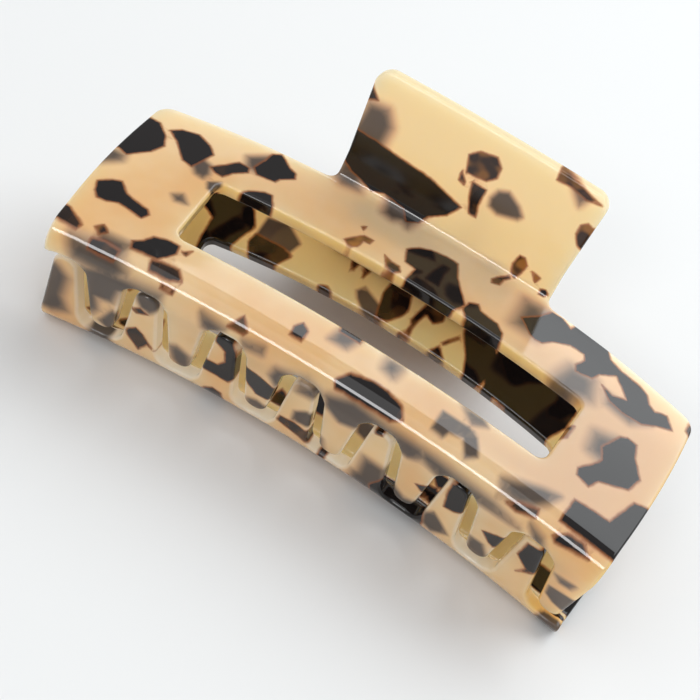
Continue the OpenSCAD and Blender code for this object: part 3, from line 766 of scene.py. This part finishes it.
pin_end = -PIN_GRIP / 2 - CAP_T - PIN_STUB
head = PIN_GRIP / 2
pin = turned("hinge_pin_steel", [(pin_end, PIN_R, 0.25), (head, PIN_R, 0), (head, HEAD_R, 0.2),
                                 (head + HEAD_T, HEAD_R, 0.55)])
cap_end = -head - CAP_T
cap = turned("pin_end_cap_steel", [(cap_end, CAP_R, 0.4), (-head, CAP_R, 0.25)])
spring = tube("torsion_spring_wire", spring_line(), WIRE_R)
for piece, node in ((pin, "hinge_pin"), (cap, "pin_end_cap")):
    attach(piece, "lower_half")
    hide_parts(node)
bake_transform(spring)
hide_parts("torsion_spring", "spring_end_turn")


# ---------------------------------------------------------------- materials

class Nodes:
    """Short names for the nodes that the materials are made of. An input is called by its name, or by i and
    its number."""

    def __init__(self, name):
        self.material = bpy.data.materials.new(name)
        self.material.use_nodes = True
        self.tree = self.material.node_tree
        self.shader = self.tree.nodes["Principled BSDF"]

    def add(self, kind, **settings):
        node = self.tree.nodes.new(kind)
        for key, value in settings.items():
            setattr(node, key, value)
        return node

    def feed(self, node, **inputs):
        for key, value in inputs.items():
            socket = node.inputs[int(key[1:])] if key[0] == "i" and key[1:].isdigit() else node.inputs[
                key.replace("_", " ")]
            if isinstance(value, bpy.types.NodeSocket):
                self.tree.links.new(value, socket)
            else:
                socket.default_value = value
        return node

    def math(self, operation, a, b=0.0, c=0.0):
        node = self.add("ShaderNodeMath", operation=operation)
        return self.feed(node, i0=a, i1=b, i2=c).outputs[0]

    def vector(self, operation, a, b=(0, 0, 0), scale=1.0):
        node = self.add("ShaderNodeVectorMath", operation=operation)
        return self.feed(node, i0=a, i1=b, i3=scale).outputs[0]

    def ramp(self, value, low, high):
        """0 below low and 1 above high, smooth between."""
        node = self.add("ShaderNodeMapRange", interpolation_type="SMOOTHSTEP")
        return self.feed(node, Value=value, From_Min=low, From_Max=high).outputs[0]

    def mix(self, factor, a, b):
        node = self.add("ShaderNodeMix", data_type="RGBA")
        self.feed(node, i0=factor, i6=a, i7=b)
        return node.outputs[2]

    def noise(self, at, scale, detail=2.0):
        node = self.add("ShaderNodeTexNoise")
        return self.feed(node, Vector=at, Scale=scale, Detail=detail)


# The acetate's colours. The dull honey is painted shade towards one end of the plate. The handle's cream,
# the inner face's brighter honey and the cut faces' gold and amber are painted glow of light coming through
# the sheet. The clear one on the teeth's cut faces is a painted glassy reflection.
HONEY_DEEP, HONEY_LIGHT = (0.67, 0.40, 0.195, 1), (0.73, 0.50, 0.295, 1)
HONEY_SHADED_END = (0.56, 0.37, 0.225, 1)
HANDLE_GLOW_CREAM = (0.94, 0.61, 0.38, 1)
INNER_GLOW_HONEY = (0.95, 0.60, 0.29, 1)
CUT_GLOW_GOLD, CUT_REFLECTION_CLEAR, CUT_GLOW_AMBER = (0.88, 0.55, 0.22, 1), (0.80, 0.70, 0.58, 1), (0.80, 0.42, 0.11, 1)
HAZE_GREY = (0.040, 0.036, 0.036, 1)
FLAKE_RIM = (0.20, 0.060, 0.018, 1)
FLAKE_BLACK = (0.008, 0.006, 0.006, 1)
BROWN_DEEP, BROWN_CLEAR = (0.050, 0.018, 0.006, 1), (0.40, 0.16, 0.03, 1)


def acetate(name, shaded_end):
    """Honey-coloured cellulose acetate, clear enough for light to bleed through, with dark flakes in it. The
    plate has painted shade, darker and duller towards the end on the side that the second argument gives, 1
    or -1. The handle has a painted glow, creamier, for light shining through it. The inner face has a
    painted glow, brighter and more orange. The cut faces have a painted gold and amber glow, and on the
    teeth a painted glassy reflection."""
    n = Nodes(name)

    def fact(key):
        return n.add("ShaderNodeAttribute", attribute_name=key).outputs["Fac"]
    at = n.add("ShaderNodeAttribute", attribute_name="sheet").outputs["Vector"]
    cloud = n.noise(at, 0.045, 3).outputs[0]
    base = n.mix(n.ramp(cloud, 0.35, 0.65), HONEY_DEEP, HONEY_LIGHT)
    spot = n.feed(n.add("ShaderNodeSeparateXYZ"), Vector=at).outputs
    towards_end = n.math("MULTIPLY", spot["X"], shaded_end)
    on_handle = n.math("SUBTRACT", 1.0, n.ramp(spot["Y"], 24, 46))
    on_plate = n.math("SUBTRACT", 1.0, n.ramp(spot["Y"], 66, 72))
    # painted shade: the plate turns darker and duller towards one end
    base = n.mix(n.math("MULTIPLY", n.ramp(towards_end, -10, 50), on_plate), base, HONEY_SHADED_END)
    # painted glow: the handle turns creamier, for light shining through it from behind
    base = n.mix(on_handle, base, HANDLE_GLOW_CREAM)
    # painted glow: the inner face turns brighter and more orange, for light coming through the sheet
    base = n.mix(n.ramp(spot["Z"], 2.3, SHEET_T), base, INNER_GLOW_HONEY)
    # painted glow on the cut faces, gold and amber, for light coming along the sheet; on the teeth's cut
    # faces a clearer colour is a painted glassy reflection
    cut_glow = n.mix(n.ramp(spot["Y"], 60, 72), CUT_GLOW_GOLD, CUT_REFLECTION_CLEAR)
    cut_glow = n.mix(n.ramp(towards_end, 35, 50), cut_glow, CUT_GLOW_AMBER)
    cut_glow_share = n.math("MULTIPLY_ADD", on_handle, -0.45, 0.6)
    base = n.mix(n.math("MULTIPLY", fact("cut"), cut_glow_share), base, cut_glow)
    haze = n.math("MULTIPLY", n.ramp(fact("haze"), -1.7, 1.2), 0.94)
    base = n.mix(haze, base, HAZE_GREY)
    chipped = n.math("SUBTRACT", n.noise(at, 0.6, 3).outputs[0], 0.5)
    crisp = n.math("ADD", fact("crisp"), n.math("MULTIPLY", chipped, 0.4))
    rim = n.math("MULTIPLY", n.ramp(crisp, -0.5, 0.1), 0.9)
    base = n.mix(rim, base, FLAKE_RIM)
    gleam = n.ramp(n.noise(at, 0.24, 1).outputs[0], 0.42, 0.6)
    brown = n.mix(gleam, BROWN_DEEP, BROWN_CLEAR)
    dark = n.mix(fact("tone"), FLAKE_BLACK, brown)
    solid = n.ramp(crisp, -0.02, 0.36)
    base = n.mix(solid, base, dark)
    clear = n.math("SUBTRACT", 1.0, n.math("MAXIMUM", n.math("MULTIPLY", haze, 0.6), solid))
    handled = n.math("ADD", n.noise(at, 0.12, 4).outputs[0], n.math("MULTIPLY", on_handle, 1.6))
    ripple = n.add("ShaderNodeBump")
    n.feed(ripple, Strength=0.25, Distance=0.0002, Height=n.noise(at, 0.08, 2).outputs[0])
    n.feed(n.shader, Base_Color=base, Roughness=n.math("MULTIPLY_ADD", handled, 0.04, 0.03), IOR=1.49,
           Normal=ripple.outputs[0], Subsurface_Weight=clear,
           Subsurface_Radius=(1.0, 0.86, 0.68), Subsurface_Scale=0.012)
    return n.material


def plain_acetate(name):
    """The hinge seats' clear honey acetate, slightly clouded, with a sanded grain along the glued strip."""
    n = Nodes(name)
    at = n.add("ShaderNodeTexCoord").outputs["Object"]
    cloud = n.noise(at, 220, 3).outputs[0]
    base = n.mix(n.ramp(cloud, 0.3, 0.7), (0.70, 0.40, 0.15, 1), (0.86, 0.57, 0.27, 1))
    grain = n.add("ShaderNodeBump")
    n.feed(grain, Strength=0.2, Distance=0.00004, Height=n.noise(at, 1800, 2).outputs[0])
    n.feed(n.shader, Base_Color=base, Roughness=n.math("MULTIPLY_ADD", cloud, 0.12, 0.1), IOR=1.49,
           Normal=grain.outputs[0], Subsurface_Weight=0.5, Subsurface_Radius=(1.0, 0.55, 0.28),
           Subsurface_Scale=0.0018)
    return n.material


def steel(name, colour, roughness, line_size):
    """Bright wire or pin steel with fine marks left by drawing and pressing."""
    n = Nodes(name)
    at = n.add("ShaderNodeTexCoord").outputs["Object"]
    lines = n.noise(n.vector("MULTIPLY", at, (0.25, 1.0, 1.0)), 1000 / line_size, 3).outputs[0]
    soil = n.noise(at, 900, 3).outputs[0]
    base = n.mix(n.ramp(soil, 0.4, 0.8), colour, tuple(0.7 * c for c in colour[:3]) + (1,))
    marks = n.add("ShaderNodeBump")
    n.feed(marks, Strength=0.3, Distance=0.00002, Height=lines)
    n.feed(n.shader, Base_Color=base, Metallic=1.0, Normal=marks.outputs[0],
           Roughness=n.math("MULTIPLY_ADD", lines, 0.15, roughness))
    return n.material


def softened(node, width):
    """A kept CAD solid with its sharp edges tumbled."""
    bevel = node.modifiers.new("tumbled_edges", "BEVEL")
    bevel.width = width * MM
    bevel.segments = 2
    bevel.limit_method = "ANGLE"
    bevel.angle_limit = math.radians(40)
    bevel.harden_normals = True


upper.data.materials.append(acetate("acetate_upper", 1.0))
lower.data.materials.append(acetate("acetate_lower", -1.0))
pin_steel = steel("pin_steel", (0.62, 0.60, 0.57, 1), 0.16, 0.25)
for piece in (pin, cap):
    piece.data.materials.append(pin_steel)
spring.data.materials.append(steel("spring_steel", (0.50, 0.49, 0.47, 1), 0.24, 0.12))
seat_acetate = plain_acetate("plain_acetate")
for name in ("upper_hinge_seat", "lower_hinge_seat"):
    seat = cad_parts[name]
    softened(seat, 0.18)
    seat.data.materials.clear()
    seat.data.materials.append(seat_acetate)


# ---------------------------------------------------------------- stage

FLOOR_HALF = 3.0


def floor():
    """A sheet of pale paper, in metres."""
    mesh = bpy.data.meshes.new("floor")
    s = FLOOR_HALF
    mesh.from_pydata([(-s, -s, 0), (s, -s, 0), (s, s, 0), (-s, s, 0)], [], [(0, 1, 2, 3)])
    obj = bpy.data.objects.new("floor", mesh)
    bpy.context.scene.collection.objects.link(obj)
    m = bpy.data.materials.new("floor_paper")
    m.use_nodes = True
    b = m.node_tree.nodes["Principled BSDF"]
    b.inputs["Base Color"].default_value = (0.775, 0.78, 0.78, 1)
    b.inputs["Roughness"].default_value = 0.7
    mesh.materials.append(m)


def area_light(name, direction, distance, size, radiance, colour=(1, 1, 1)):
    """A soft box seen from the clip in a direction; radiance is 1 for a surface as bright as white paper."""
    data = bpy.data.lights.new(name, "AREA")
    data.shape = "RECTANGLE"
    data.size, data.size_y = size
    data.energy = radiance * math.pi * size[0] * size[1]
    data.color = colour
    obj = bpy.data.objects.new(name, data)
    obj.location = Vector(direction).normalized() * distance
    obj.rotation_euler = (-obj.location).to_track_quat("-Z", "Y").to_euler()
    bpy.context.scene.collection.objects.link(obj)


floor()
world = bpy.data.worlds.new("studio")
world.use_nodes = True
world.node_tree.nodes["Background"].inputs["Color"].default_value = (1, 1, 1, 1)
world.node_tree.nodes["Background"].inputs["Strength"].default_value = 0.42
bpy.context.scene.world = world
area_light("window_light", (0.36, 0.56, 0.75), 1.0, (1.15, 0.9), 2.8, (0.94, 0.98, 1.0))
area_light("ceiling_light", (-0.25, -0.5, 0.83), 1.5, (1.8, 1.1), 1.15)
area_light("front_light", (-0.12, -0.78, 0.61), 1.2, (0.26, 0.21), 11.0)

camera = bpy.data.objects.new("camera", bpy.data.cameras.new("camera"))
camera.data.lens = 83.745
camera.data.sensor_width = 36
camera.location = (0.033674, -0.218938, 0.225956)
camera.rotation_euler = tuple(math.radians(a) for a in (42.651, -17.182, 27.655))
bpy.context.scene.collection.objects.link(camera)
bpy.context.scene.camera = camera
bpy.context.scene.view_settings.view_transform = "Standard"
